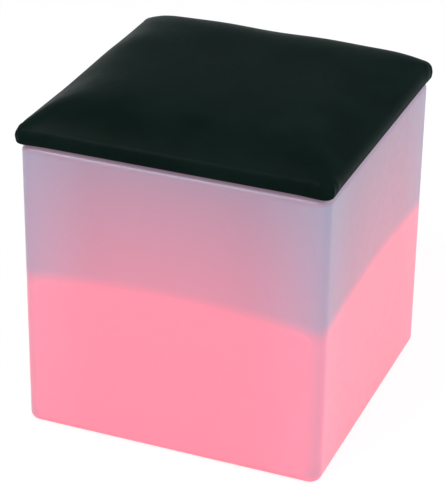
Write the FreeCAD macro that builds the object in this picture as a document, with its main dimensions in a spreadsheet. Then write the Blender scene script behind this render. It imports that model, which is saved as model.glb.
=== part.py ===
import FreeCAD, Part
import math
import os
from types import SimpleNamespace

import Sketcher

# A battery lit cube stool: a hollow moulded cube that glows, a lamp canister that hangs through the
# opening in its sunk top, and a loose padded seat that drops into the sunk top as its lid.
# Millimetres, +Z up, the front along -Y. The origin is on the floor under the middle of the cube.

SIZES = {
    # moulded cube
    "body_width": 400.0,
    "body_height": 392.0,
    "body_wall": 4.0,
    "upright_edge_radius": 16.0,
    "rim_fillet": 9.5,
    "recess_width": 300.0,
    "recess_depth": 14.0,
    "recess_corner_radius": 20.0,
    "recess_rim_fillet": 2.5,
    "lamp_opening_radius": 60.0,
    "insert_circle_radius": 72.0,
    "insert_boss_radius": 7.0,
    "insert_boss_drop": 10.0,
    # feet and the plug of the moulding vent
    "foot_radius": 20.0,
    "foot_thickness": 6.0,
    "foot_standoff": 2.0,
    "foot_chamfer": 1.0,
    "foot_offset": 150.0,
    "foot_pocket_clearance": 0.5,
    "foot_counterbore_radius": 4.8,
    "foot_counterbore_depth": 3.0,
    "foot_boss_radius": 6.0,
    "foot_boss_height": 12.0,
    "vent_radius": 5.0,
    "vent_head_radius": 8.0,
    "vent_head_thickness": 1.5,
    "vent_barb_reach": 1.0,
    "vent_barb_height": 2.0,
    # screws by their thread size, and the clearances round them
    "large_screw_radius": 2.0,
    "large_head_radius": 4.0,
    "large_head_height": 2.4,
    "large_screw_length": 12.0,
    "small_screw_radius": 1.5,
    "small_head_radius": 2.8,
    "small_head_height": 1.6,
    "small_screw_length": 10.0,
    "tiny_screw_radius": 1.25,
    "tiny_head_radius": 2.2,
    "tiny_head_height": 1.4,
    "tiny_screw_length": 6.0,
    "drive_slot_width": 0.8,
    "drive_slot_depth": 1.0,
    "thread_clearance": 0.05,
    "passing_clearance": 0.3,
    "hole_bottom_room": 2.0,
    # brass inserts under the recess
    "insert_radius": 2.8,
    "insert_length": 8.0,
    # lamp canister
    "canister_radius": 50.0,
    "canister_wall": 2.5,
    "canister_depth": 127.5,
    "flange_radius": 80.0,
    "flange_thickness": 3.0,
    "flange_gasket_thickness": 1.5,
    "flange_gasket_inner_radius": 62.0,
    "ledge_width": 7.5,
    "ledge_thickness": 3.0,
    "canister_boss_radius": 4.0,
    "canister_boss_height": 10.0,
    "canister_boss_offset": 3.5,
    # lid of the canister
    "lid_radius": 58.0,
    "lid_thickness": 3.0,
    "lid_gasket_thickness": 1.0,
    "lid_gasket_reach": 1.5,
    "board_post_radius": 3.0,
    "board_post_length": 13.9,
    "board_post_circle_radius": 37.0,
    # charging inlet and its swivelling cover
    "inlet_offset": 26.0,
    "inlet_barrel_radius": 5.5,
    "inlet_flange_radius": 7.5,
    "inlet_flange_thickness": 1.5,
    "inlet_bore_radius": 3.15,
    "inlet_bore_depth": 9.5,
    "inlet_pin_radius": 1.05,
    "inlet_pin_recess": 1.0,
    "inlet_nut_radius": 8.0,
    "inlet_nut_thickness": 2.5,
    "cover_radius": 8.5,
    "cover_thickness": 1.6,
    "cover_arm_length": 18.0,
    "cover_arm_width": 7.0,
    "cover_gap": 0.3,
    "cover_play": 0.1,
    # push buttons
    "button_radius": 5.0,
    "button_height": 2.0,
    "button_chamfer": 0.6,
    "button_offset_across": 17.0,
    "button_offset_back": 20.0,
    "button_clearance": 0.2,
    "button_flange_radius": 6.5,
    "button_flange_thickness": 1.2,
    "button_seal_thickness": 0.8,
    "button_seal_radius": 7.5,
    "button_stem_radius": 2.0,
    "button_travel": 1.0,
    "switch_width": 6.0,
    "switch_height": 3.8,
    "plunger_radius": 1.75,
    "plunger_clearance": 0.1,
    "plunger_grip": 2.0,
    # control board
    "board_radius": 42.0,
    "board_thickness": 1.6,
    "capacitor_radius": 4.0,
    "capacitor_height": 10.0,
    "coil_width": 10.0,
    "coil_height": 5.0,
    "chip_width": 8.0,
    "chip_height": 1.2,
    "component_spacing": 13.0,
    # battery
    "cell_radius": 9.2,
    "cell_length": 65.0,
    "cell_shrink_clearance": 0.15,
    "cell_nub_radius": 2.8,
    "cell_nub_height": 1.0,
    "cell_circle_radius": 22.0,
    "holder_radius": 46.0,
    "holder_base_thickness": 3.0,
    "holder_cup_wall": 2.0,
    "holder_cup_height": 27.0,
    "holder_post_radius": 4.0,
    "battery_cover_radius": 31.0,
    "battery_cover_thickness": 3.0,
    "battery_lead_length": 6.0,
    "battery_lead_spread": 6.0,
    "lead_radius": 0.8,
    "led_lead_offset": 33.0,
    "led_lead_spread": 1.6,
    "led_lead_hole_radius": 3.5,
    # lamp
    "sink_clearance": 0.3,
    "sink_base_thickness": 4.0,
    "sink_ring_width": 3.7,
    "fin_thickness": 2.0,
    "fin_pitch": 9.0,
    "fin_top_room": 6.0,
    "led_board_radius": 37.5,
    "led_board_thickness": 1.6,
    "led_screw_circle_radius": 25.0,
    "led_width": 5.0,
    "led_height": 1.2,
    "led_circle_radius": 10.0,
    "reflector_height": 4.0,
    "reflector_flare": 6.0,
    "reflector_clearance": 0.5,
    "window_radius": 46.5,
    "window_thickness": 2.0,
    "window_clearance": 0.3,
    "lens_gasket_thickness": 1.0,
    "lens_gasket_inner_radius": 43.5,
    "ring_inner_radius": 45.0,
    "ring_lip_thickness": 2.3,
    # padded seat
    "seat_half_width": 204.2,
    "seat_corner_radius": 11.5,
    "seat_gap": 4.5,
    "seat_edge_height": 15.0,
    "seat_crown_rise": 33.5,
    "cover_skin": 1.5,
    "hem_width": 30.0,
    "seat_board_thickness": 12.0,
    "seat_board_clearance": 0.4,
    "foam_clearance": 0.4,
    "batten_length": 250.0,
    "batten_width": 20.0,
    "batten_thickness": 12.0,
    "batten_play": 2.0,
    "batten_screw_pitch": 105.0,
    "batten_screw_radius": 1.8,
    "batten_screw_length": 18.0,
    "batten_counterbore_radius": 4.4,
    "batten_counterbore_depth": 3.0,
    "bumper_radius": 7.0,
    "bumper_offset": 162.0,
    "bumper_hem_clearance": 2.0,
    "staple_width": 10.0,
    "staple_wire": 0.7,
    "staple_wire_breadth": 1.2,
    "staple_leg_length": 8.0,
    "staple_pitch": 42.0,
}

# The crown rises as 1 - (1 - inset) ** CROWN_FULLNESS, the inset counted from 0 at the edge of the
# seat to 1 in its middle. The corners of its level lines open out by CROWN_CORNER_GROWTH.
CROWN_FULLNESS = 6.5
CROWN_CORNER_GROWTH = 0.45
CROWN_INSETS = (0.0, 0.02, 0.05, 0.09, 0.15, 0.24, 0.38, 0.6)

INSERT_COUNT = 6
CORNER_ANGLES = (45, 135, 225, 315)
LED_COUNT = 6
LED_SCREW_COUNT = 3
FIN_COUNT = 7
STAPLES_PER_SIDE = 9
SCREWS_PER_BATTEN = 3


class Size:
    """A length together with the formula that ties a feature to the sheet of sizes."""

    def __init__(self, value, formula):
        self.value = float(value)
        self.formula = formula

    def __add__(self, other):
        other = as_size(other)
        return Size(self.value + other.value, f"({self.formula} + {other.formula})")

    def __sub__(self, other):
        other = as_size(other)
        return Size(self.value - other.value, f"({self.formula} - {other.formula})")

    def __mul__(self, factor):
        return Size(self.value * factor, f"({self.formula} * {factor:.9f})")

    def __truediv__(self, divisor):
        return Size(self.value / divisor, f"({self.formula} / {divisor})")

    def __neg__(self):
        return self * -1


def as_size(value):
    if isinstance(value, Size):
        return value
    return Size(value, f"{float(value):.9f}")


ZERO = as_size(0)

doc = FreeCAD.newDocument("cube_light")
SUBPARTS = []


def make_sheet():
    """Writes every driving size to the sheet and gives them back as one set of named sizes."""
    sheet = doc.addObject("Spreadsheet::Sheet", "Sizes")
    for row, (name, value) in enumerate(SIZES.items(), start=1):
        sheet.set(f"A{row}", name)
        sheet.set(f"B{row}", str(value))
        sheet.setAlias(f"B{row}", name)
    doc.recompute()
    return SimpleNamespace(**{name: Size(sheet.get(name), f"Sizes.{name}") for name in SIZES})


# Helpers for placing, binding and naming


def bind(thing, **sizes):
    """Ties properties of an object to sizes."""
    for name, size in sizes.items():
        size = as_size(size)
        setattr(thing, name, size.value)
        thing.setExpression(name, size.formula)


def place(thing, x=ZERO, y=ZERO, z=ZERO, turn=0):
    """Puts an object at a point, turned about the upright axis by whole degrees."""
    at = [as_size(x), as_size(y), as_size(z)]
    rotation = FreeCAD.Rotation(FreeCAD.Vector(0, 0, 1), turn)
    thing.Placement = FreeCAD.Placement(FreeCAD.Vector(*[size.value for size in at]), rotation)
    for letter, size in zip("xyz", at):
        thing.setExpression(f".Placement.Base.{letter}", size.formula)


def subpart(thing, name):
    """Names a finished sub-part, which is written to a file of that name."""
    thing.Label = name
    SUBPARTS.append(thing)
    return thing


def ring_places(radius, angles):
    """Places on a circle, each facing outwards."""
    return [(radius * math.cos(math.radians(turn)), radius * math.sin(math.radians(turn)), turn)
            for turn in angles]


def even_angles(count):
    return [360 // count * step for step in range(count)]


def square_places(offset):
    """The four corners of a square round the middle."""
    return [(offset * across, offset * along, 0) for across in (-1, 1) for along in (-1, 1)]


# Helpers for solids


def cylinder(name, radius, bottom, top, x=ZERO, y=ZERO):
    thing = doc.addObject("Part::Cylinder", name)
    bind(thing, Radius=radius, Height=top - bottom)
    place(thing, x, y, bottom)
    return thing


def block(name, length, width, bottom, top, x=ZERO, y=ZERO):
    """A box, centred on x and y."""
    thing = doc.addObject("Part::Box", name)
    bind(thing, Length=length, Width=width, Height=top - bottom)
    place(thing, as_size(x) - length / 2, as_size(y) - width / 2, bottom)
    return thing


def gather(name, things):
    thing = doc.addObject("Part::Compound", name)
    thing.Links = list(things)
    return thing


def cut(name, base, tool):
    thing = doc.addObject("Part::Cut", name)
    thing.Base = base
    thing.Tool = tool
    return thing


def fuse(name, *things):
    thing = doc.addObject("Part::MultiFuse", name)
    thing.Shapes = list(things)
    return thing


def common(name, first, second):
    thing = doc.addObject("Part::Common", name)
    thing.Base = first
    thing.Tool = second
    return thing


def pegs(name, radius, bottom, top, places):
    """The same upright cylinder at each place, for bosses and holes."""
    return gather(name, [cylinder(f"{name}_{number}", radius, bottom, top, x, y)
                         for number, (x, y, turn) in enumerate(places, start=1)])


def copies(name, piece, places):
    """Separate copies of one piece under one name."""
    links = []
    for number, (x, y, turn) in enumerate(places, start=1):
        link = doc.addObject("App::Link", f"{name}_{number}")
        link.LinkedObject = piece
        place(link, x, y, turn=turn)
        links.append(link)
    return gather(name, links)


def new_sketch(name, body, plane):
    sketch = body.newObject("Sketcher::SketchObject", name)
    support = next(face for face in body.Origin.OriginFeatures if face.Role == plane)
    sketch.AttachmentSupport = (support, [""])
    sketch.MapMode = "FlatFace"
    return sketch


def pin_corner(sketch, line, x, y):
    """Holds the start of a line at a point measured from the origin."""
    for kind, size, axis in (("DistanceX", x, -2), ("DistanceY", y, -1)):
        if size.value == 0:
            sketch.addConstraint(Sketcher.Constraint("PointOnObject", line, 1, axis))
            continue
        number = sketch.addConstraint(Sketcher.Constraint(kind, -1, 1, line, 1, size.value))
        sketch.setExpression(f"Constraints[{number}]", size.formula)


def turned(name, points):
    """A turned solid, from the (radius, height) corners of its half section."""
    points = [(as_size(radius), as_size(height)) for radius, height in points]
    body = doc.addObject("PartDesign::Body", name)
    sketch = new_sketch(f"{name}_section", body, "XZ_Plane")
    count = len(points)
    for line in range(count):
        ends = points[line], points[(line + 1) % count]
        start, finish = [FreeCAD.Vector(radius.value, height.value, 0) for radius, height in ends]
        sketch.addGeometry(Part.LineSegment(start, finish))
    for line in range(count):
        sketch.addConstraint(Sketcher.Constraint("Coincident", line, 2, (line + 1) % count, 1))
    for line, (radius, height) in enumerate(points):
        pin_corner(sketch, line, radius, height)
    revolution = body.newObject("PartDesign::Revolution", f"{name}_turning")
    revolution.Profile = sketch
    revolution.ReferenceAxis = (sketch, ["V_Axis"])
    revolution.Angle = 360
    sketch.Visibility = False
    return body


def draw_rounded_square(sketch, half_width, corner_radius):
    """A square with round corners about the sketch's origin, both sizes bound."""
    half, radius = half_width.value, corner_radius.value
    inner = half - radius
    for turn in range(4):
        rotation = FreeCAD.Rotation(FreeCAD.Vector(0, 0, 1), 90 * turn)
        start = rotation.multVec(FreeCAD.Vector(-inner, -half, 0))
        finish = rotation.multVec(FreeCAD.Vector(inner, -half, 0))
        centre = rotation.multVec(FreeCAD.Vector(inner, -inner, 0))
        sketch.addGeometry(Part.LineSegment(start, finish))
        circle = Part.Circle(centre, FreeCAD.Vector(0, 0, 1), radius)
        begin = math.radians(90 * turn - 90)
        sketch.addGeometry(Part.ArcOfCircle(circle, begin, begin + math.pi / 2))
    for turn in range(4):
        line, arc, following = 2 * turn, 2 * turn + 1, (2 * turn + 2) % 8
        sketch.addConstraint(Sketcher.Constraint("Tangent", line, 2, arc, 1))
        sketch.addConstraint(Sketcher.Constraint("Tangent", arc, 2, following, 1))
    for line, direction in ((0, "Horizontal"), (2, "Vertical"), (4, "Horizontal"), (6, "Vertical")):
        sketch.addConstraint(Sketcher.Constraint(direction, line))
    for arc in (3, 5, 7):
        sketch.addConstraint(Sketcher.Constraint("Equal", 1, arc))
    sketch.addConstraint(Sketcher.Constraint("Equal", 0, 2))
    sketch.addConstraint(Sketcher.Constraint("Symmetric", 1, 3, 5, 3, -1, 1))
    number = sketch.addConstraint(Sketcher.Constraint("Radius", 1, radius))
    sketch.setExpression(f"Constraints[{number}]", corner_radius.formula)
    number = sketch.addConstraint(Sketcher.Constraint("DistanceX", 6, 1, 2, 1, 2 * half))
    sketch.setExpression(f"Constraints[{number}]", (half_width * 2).formula)


def level_edges(shape, height, reach):
    """The names of the edges that lie flat at one height, within a reach of the middle."""
    names = []
    for number, edge in enumerate(shape.Edges, start=1):
        box = edge.BoundBox
        level = max(abs(box.ZMin - height.value), abs(box.ZMax - height.value)) < 1e-6
        if level and max(box.XMax, -box.XMin, box.YMax, -box.YMin) < reach.value + 1e-6:
            names.append(f"Edge{number}")
    return names


def rounded_prism(name, half_width, corner_radius, bottom, top):
    """A padded square with round corners. Gives the body and its pad."""
    body = doc.addObject("PartDesign::Body", name)
    sketch = new_sketch(f"{name}_outline", body, "XY_Plane")
    draw_rounded_square(sketch, half_width, corner_radius)
    sketch.setExpression(".AttachmentOffset.Base.z", bottom.formula)
    pad = body.newObject("PartDesign::Pad", f"{name}_pad")
    pad.Profile = sketch
    bind(pad, Length=top - bottom)
    sketch.Visibility = False
    doc.recompute()
    return body


def round_level(body, name, height, radius, reach):
    """Rounds the edges of a body that lie flat at a height, within a reach of the middle."""
    before = body.Tip
    fillet = body.newObject("PartDesign::Fillet", name)
    fillet.Base = (before, level_edges(before.Shape, height, reach))
    bind(fillet, Radius=radius)
    doc.recompute()


def sink_square(body, name, half_width, corner_radius, top, depth):
    """Sinks a square pocket with round corners into the top of a body."""
    before = body.Shape.Volume
    sketch = new_sketch(f"{name}_outline", body, "XY_Plane")
    draw_rounded_square(sketch, half_width, corner_radius)
    sketch.setExpression(".AttachmentOffset.Base.z", top.formula)
    pocket = body.newObject("PartDesign::Pocket", name)
    pocket.Profile = sketch
    bind(pocket, Length=depth)
    sketch.Visibility = False
    doc.recompute()
    if body.Shape.Volume >= before:
        raise RuntimeError(f"{name} cut nothing")


def screw(name, radius, length, head_radius, head_height, seat, points_up=False):
    """A pan head screw with a cross drive. Its head bears on the seat's height."""
    way = -1 if points_up else 1
    crown = seat + head_height * way
    shoulder = head_height * 0.35
    blank = turned(f"{name}_blank", [
        (ZERO, crown),
        (head_radius - shoulder, crown),
        (head_radius, crown - shoulder * way),
        (head_radius, seat),
        (radius, seat),
        (radius, seat - (length - radius / 2) * way),
        (radius / 2, seat - length * way),
        (ZERO, seat - length * way),
    ])
    low, high = sorted((crown, crown - size.drive_slot_depth * way), key=lambda level: level.value)
    slot = size.drive_slot_width
    drive = fuse(f"{name}_drive",
                 block(f"{name}_slot_across", head_radius, slot, low, high),
                 block(f"{name}_slot_along", slot, head_radius, low, high))
    return cut(name, blank, drive)


size = make_sheet()

# Heights that several pieces share, from the floor up

SHELL_BOTTOM = size.foot_standoff
SHELL_FLOOR = SHELL_BOTTOM + size.body_wall
SHELL_TOP = SHELL_BOTTOM + size.body_height
RECESS_FLOOR = SHELL_TOP - size.recess_depth
TRAY_UNDERSIDE = RECESS_FLOOR - size.body_wall
FLANGE_UNDERSIDE = RECESS_FLOOR + size.flange_gasket_thickness
FLANGE_TOP = FLANGE_UNDERSIDE + size.flange_thickness
LID_UNDERSIDE = FLANGE_TOP + size.lid_gasket_thickness
LID_TOP = LID_UNDERSIDE + size.lid_thickness
BOARD_TOP = LID_UNDERSIDE - size.board_post_length
BOARD_UNDERSIDE = BOARD_TOP - size.board_thickness
BATTERY_COVER_TOP = BOARD_UNDERSIDE - size.battery_lead_length
BATTERY_COVER_UNDERSIDE = BATTERY_COVER_TOP - size.battery_cover_thickness
CELL_BOTTOM = BATTERY_COVER_UNDERSIDE - size.cell_nub_height - size.cell_length
LEDGE_TOP = CELL_BOTTOM - size.holder_base_thickness
LEDGE_UNDERSIDE = LEDGE_TOP - size.ledge_thickness
CANISTER_END = FLANGE_UNDERSIDE - size.canister_depth
SINK_UNDERSIDE = CANISTER_END + size.reflector_height
LED_BOARD_UNDERSIDE = SINK_UNDERSIDE - size.led_board_thickness
WINDOW_TOP = CANISTER_END - size.lens_gasket_thickness
WINDOW_UNDERSIDE = WINDOW_TOP - size.window_thickness
RING_UNDERSIDE = WINDOW_UNDERSIDE - size.ring_lip_thickness
SEAT_UNDERSIDE = SHELL_TOP + size.seat_gap
SEAT_BOARD_UNDERSIDE = SEAT_UNDERSIDE + size.cover_skin
SEAT_BOARD_TOP = SEAT_BOARD_UNDERSIDE + size.seat_board_thickness

# Places that several pieces share

INSERT_PLACES = ring_places(size.insert_circle_radius, even_angles(INSERT_COUNT))
FOOT_PLACES = square_places(size.foot_offset)
CANISTER_BORE = size.canister_radius - size.canister_wall
CANISTER_BOSS_PLACES = ring_places(size.canister_radius + size.canister_boss_offset, CORNER_ANGLES)
BOARD_POST_PLACES = ring_places(size.board_post_circle_radius, CORNER_ANGLES)
BUTTON_PLACES = {
    "power": (-size.button_offset_across, -size.button_offset_back, 0),
    "mode": (size.button_offset_across, -size.button_offset_back, 0),
}
INLET_PLACE = (ZERO, size.inlet_offset, 0)
PIVOT_PLACE = (-size.cover_arm_length, size.inlet_offset, 0)
CELL_PLACES = ring_places(size.cell_circle_radius, CORNER_ANGLES)
LED_LEAD_PLACES = [(size.led_lead_offset, size.led_lead_spread * side, 0) for side in (-1, 1)]
LED_SCREW_PLACES = ring_places(size.led_screw_circle_radius, even_angles(LED_SCREW_COUNT))


def moulded_cube():
    """The hollow cube: an outer form less its cavity, with bosses for the feet and the lamp."""
    half = size.body_width / 2
    outer = rounded_prism("cube_outer", half, size.upright_edge_radius, SHELL_BOTTOM, SHELL_TOP)
    round_level(outer, "bottom_rounding", SHELL_BOTTOM, size.rim_fillet, half)
    round_level(outer, "top_rounding", SHELL_TOP, size.rim_fillet, half)
    sink_square(outer, "recess", size.recess_width / 2, size.recess_corner_radius,
                SHELL_TOP, size.recess_depth)
    round_level(outer, "recess_rounding", SHELL_TOP, size.recess_rim_fillet, size.recess_width / 2)

    wall = size.body_wall
    ceiling = SHELL_TOP - wall
    cavity = rounded_prism("cube_cavity", half - wall, size.upright_edge_radius - wall, SHELL_FLOOR, ceiling)
    round_level(cavity, "cavity_bottom_rounding", SHELL_FLOOR, size.rim_fillet - wall, half)
    round_level(cavity, "cavity_top_rounding", ceiling, size.rim_fillet - wall, half)
    sink_square(cavity, "tray", size.recess_width / 2 + wall, size.recess_corner_radius + wall,
                ceiling, size.recess_depth)

    seat_radius = size.foot_radius + size.foot_pocket_clearance + wall
    seat_top = SHELL_BOTTOM + pocket_depth() + wall
    boss_top = seat_top + size.foot_boss_height
    bite = wall / 4
    solid = fuse("cube_with_bosses",
                 cut("cube_hollowed", outer, cavity),
                 pegs("foot_seats", seat_radius, SHELL_FLOOR - bite, seat_top, FOOT_PLACES),
                 pegs("foot_bosses", size.foot_boss_radius, seat_top - bite, boss_top, FOOT_PLACES),
                 pegs("insert_bosses", size.insert_boss_radius,
                      TRAY_UNDERSIDE - size.insert_boss_drop, TRAY_UNDERSIDE + bite, INSERT_PLACES))
    pocket_top = SHELL_BOTTOM + pocket_depth()
    openings = fuse("cube_openings",
                    cylinder("lamp_opening", size.lamp_opening_radius, TRAY_UNDERSIDE, RECESS_FLOOR),
                    cylinder("vent_hole", size.vent_radius, SHELL_BOTTOM, SHELL_FLOOR),
                    pegs("foot_pockets", size.foot_radius + size.foot_pocket_clearance,
                         SHELL_BOTTOM, pocket_top, FOOT_PLACES),
                    pegs("foot_screw_holes", size.large_screw_radius + size.thread_clearance,
                         pocket_top, pocket_top + size.large_screw_length, FOOT_PLACES),
                    pegs("insert_holes", size.insert_radius + size.thread_clearance,
                         RECESS_FLOOR - size.insert_length - size.hole_bottom_room,
                         RECESS_FLOOR, INSERT_PLACES))
    subpart(cut("cube_shell", solid, openings), "cube_shell")


def pocket_depth():
    """How deep the feet are let into the underside."""
    return size.foot_thickness - size.foot_standoff


def feet():
    """Rubber feet, each held by a screw that is sunk in it, and the plug of the moulding vent."""
    hole = size.large_screw_radius + size.passing_clearance
    foot = turned("foot", [
        (size.foot_counterbore_radius, ZERO),
        (size.foot_radius - size.foot_chamfer, ZERO),
        (size.foot_radius, size.foot_chamfer),
        (size.foot_radius, size.foot_thickness),
        (hole, size.foot_thickness),
        (hole, size.foot_counterbore_depth),
        (size.foot_counterbore_radius, size.foot_counterbore_depth),
    ])
    subpart(copies("rubber_feet", foot, FOOT_PLACES), "rubber_feet")
    foot_screw = screw("foot_screw", size.large_screw_radius, size.large_screw_length,
                       size.large_head_radius, size.large_head_height,
                       size.foot_counterbore_depth, points_up=True)
    subpart(copies("foot_screws", foot_screw, FOOT_PLACES), "foot_screws")

    neck = size.vent_radius - size.thread_clearance
    barb = neck + size.vent_barb_reach
    plug = turned("vent_plug", [
        (ZERO, SHELL_BOTTOM - size.vent_head_thickness),
        (size.vent_head_radius, SHELL_BOTTOM - size.vent_head_thickness),
        (size.vent_head_radius, SHELL_BOTTOM),
        (neck, SHELL_BOTTOM),
        (neck, SHELL_FLOOR),
        (barb, SHELL_FLOOR),
        (neck, SHELL_FLOOR + size.vent_barb_height),
        (ZERO, SHELL_FLOOR + size.vent_barb_height),
    ])
    subpart(plug, "vent_plug")


def lamp_fixings():
    """Brass inserts under the recess, the flange gasket and the screws that hold the canister."""
    insert = turned("insert", [
        (size.large_screw_radius + size.thread_clearance, RECESS_FLOOR - size.insert_length),
        (size.insert_radius, RECESS_FLOOR - size.insert_length),
        (size.insert_radius, RECESS_FLOOR),
        (size.large_screw_radius + size.thread_clearance, RECESS_FLOOR),
    ])
    subpart(copies("flange_inserts", insert, INSERT_PLACES), "flange_inserts")

    passing = size.large_screw_radius + size.passing_clearance
    gasket = turned("flange_gasket_ring", [
        (size.flange_gasket_inner_radius, RECESS_FLOOR),
        (size.flange_radius, RECESS_FLOOR),
        (size.flange_radius, FLANGE_UNDERSIDE),
        (size.flange_gasket_inner_radius, FLANGE_UNDERSIDE),
    ])
    gasket_holes = pegs("gasket_holes", passing, RECESS_FLOOR, FLANGE_UNDERSIDE, INSERT_PLACES)
    subpart(cut("flange_gasket", gasket, gasket_holes), "flange_gasket")

    flange_screw = screw("flange_screw", size.large_screw_radius, size.large_screw_length,
                         size.large_head_radius, size.large_head_height, FLANGE_TOP)
    subpart(copies("flange_screws", flange_screw, INSERT_PLACES), "flange_screws")


def canister():
    """The tube that hangs inside the cube, with a flange above and a ledge inside."""
    ledge_bore = CANISTER_BORE - size.ledge_width
    tube = turned("canister_tube", [
        (CANISTER_BORE, CANISTER_END),
        (size.canister_radius, CANISTER_END),
        (size.canister_radius, FLANGE_UNDERSIDE),
        (size.flange_radius, FLANGE_UNDERSIDE),
        (size.flange_radius, FLANGE_TOP),
        (CANISTER_BORE, FLANGE_TOP),
        (CANISTER_BORE, LEDGE_TOP),
        (ledge_bore, LEDGE_TOP),
        (ledge_bore, LEDGE_UNDERSIDE),
        (CANISTER_BORE, LEDGE_UNDERSIDE),
    ])
    lower_boss_top = CANISTER_END + size.canister_boss_height
    upper_boss_bottom = FLANGE_UNDERSIDE - size.canister_boss_height
    bite = size.flange_thickness / 3
    blank = fuse("canister_blank", tube,
                 pegs("lower_bosses", size.canister_boss_radius, CANISTER_END, lower_boss_top,
                      CANISTER_BOSS_PLACES),
                 pegs("upper_bosses", size.canister_boss_radius, upper_boss_bottom,
                      FLANGE_UNDERSIDE + bite, CANISTER_BOSS_PLACES))
    thread = size.small_screw_radius + size.thread_clearance
    ring_screw_reach = RING_UNDERSIDE + size.small_screw_length
    lid_screw_reach = LID_TOP - size.small_screw_length
    openings = fuse("canister_holes",
                    cylinder("canister_hollow", CANISTER_BORE, LEDGE_TOP, FLANGE_TOP),
                    pegs("flange_holes", size.large_screw_radius + size.passing_clearance,
                         FLANGE_UNDERSIDE, FLANGE_TOP, INSERT_PLACES),
                    pegs("lower_boss_holes", thread, CANISTER_END,
                         ring_screw_reach + size.hole_bottom_room, CANISTER_BOSS_PLACES),
                    pegs("upper_boss_holes", thread, lid_screw_reach - size.hole_bottom_room,
                         FLANGE_TOP, CANISTER_BOSS_PLACES))
    lower_hollow = cylinder("lamp_hollow", CANISTER_BORE, CANISTER_END, LEDGE_UNDERSIDE)
    subpart(cut("lamp_canister", blank, fuse("canister_openings", openings, lower_hollow)), "lamp_canister")


def canister_lid():
    """The lid with its gasket, its screws and the posts that carry the control board."""
    disc = turned("lid_disc", [
        (ZERO, LID_UNDERSIDE),
        (size.lid_radius, LID_UNDERSIDE),
        (size.lid_radius, LID_TOP),
        (ZERO, LID_TOP),
    ])
    pivot_post_top = COVER_UNDERSIDE
    bite = size.lid_thickness / 3
    blank = fuse("lid_blank", disc,
                 pegs("board_posts", size.board_post_radius, BOARD_TOP, LID_UNDERSIDE + bite,
                      BOARD_POST_PLACES),
                 pegs("pivot_post", size.cover_arm_width / 2, LID_TOP - bite, pivot_post_top, [PIVOT_PLACE]))
    tiny_thread = size.tiny_screw_radius + size.thread_clearance
    holes = gather("lid_holes", [
        pegs("lid_screw_holes", size.small_screw_radius + size.passing_clearance,
             LID_UNDERSIDE, LID_TOP, CANISTER_BOSS_PLACES),
        pegs("button_holes", size.button_radius + size.button_clearance,
             LID_UNDERSIDE, LID_TOP, BUTTON_PLACES.values()),
        pegs("inlet_hole", size.inlet_barrel_radius + size.passing_clearance,
             LID_UNDERSIDE, LID_TOP, [INLET_PLACE]),
        pegs("board_screw_holes", tiny_thread, BOARD_TOP,
             BOARD_UNDERSIDE + size.tiny_screw_length + size.hole_bottom_room / 2, BOARD_POST_PLACES),
        pegs("pivot_hole", tiny_thread, LID_UNDERSIDE, pivot_post_top, [PIVOT_PLACE]),
    ])
    subpart(cut("canister_lid", blank, holes), "canister_lid")

    gasket = turned("lid_gasket", [
        (CANISTER_BORE, FLANGE_TOP),
        (size.canister_radius + size.lid_gasket_reach, FLANGE_TOP),
        (size.canister_radius + size.lid_gasket_reach, LID_UNDERSIDE),
        (CANISTER_BORE, LID_UNDERSIDE),
    ])
    subpart(gasket, "lid_gasket")
    lid_screw = screw("lid_screw", size.small_screw_radius, size.small_screw_length,
                      size.small_head_radius, size.small_head_height, LID_TOP)
    subpart(copies("lid_screws", lid_screw, CANISTER_BOSS_PLACES), "lid_screws")


INLET_TOP = LID_TOP + size.inlet_flange_thickness
COVER_UNDERSIDE = INLET_TOP + size.cover_gap
COVER_TOP = COVER_UNDERSIDE + size.cover_thickness


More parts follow.
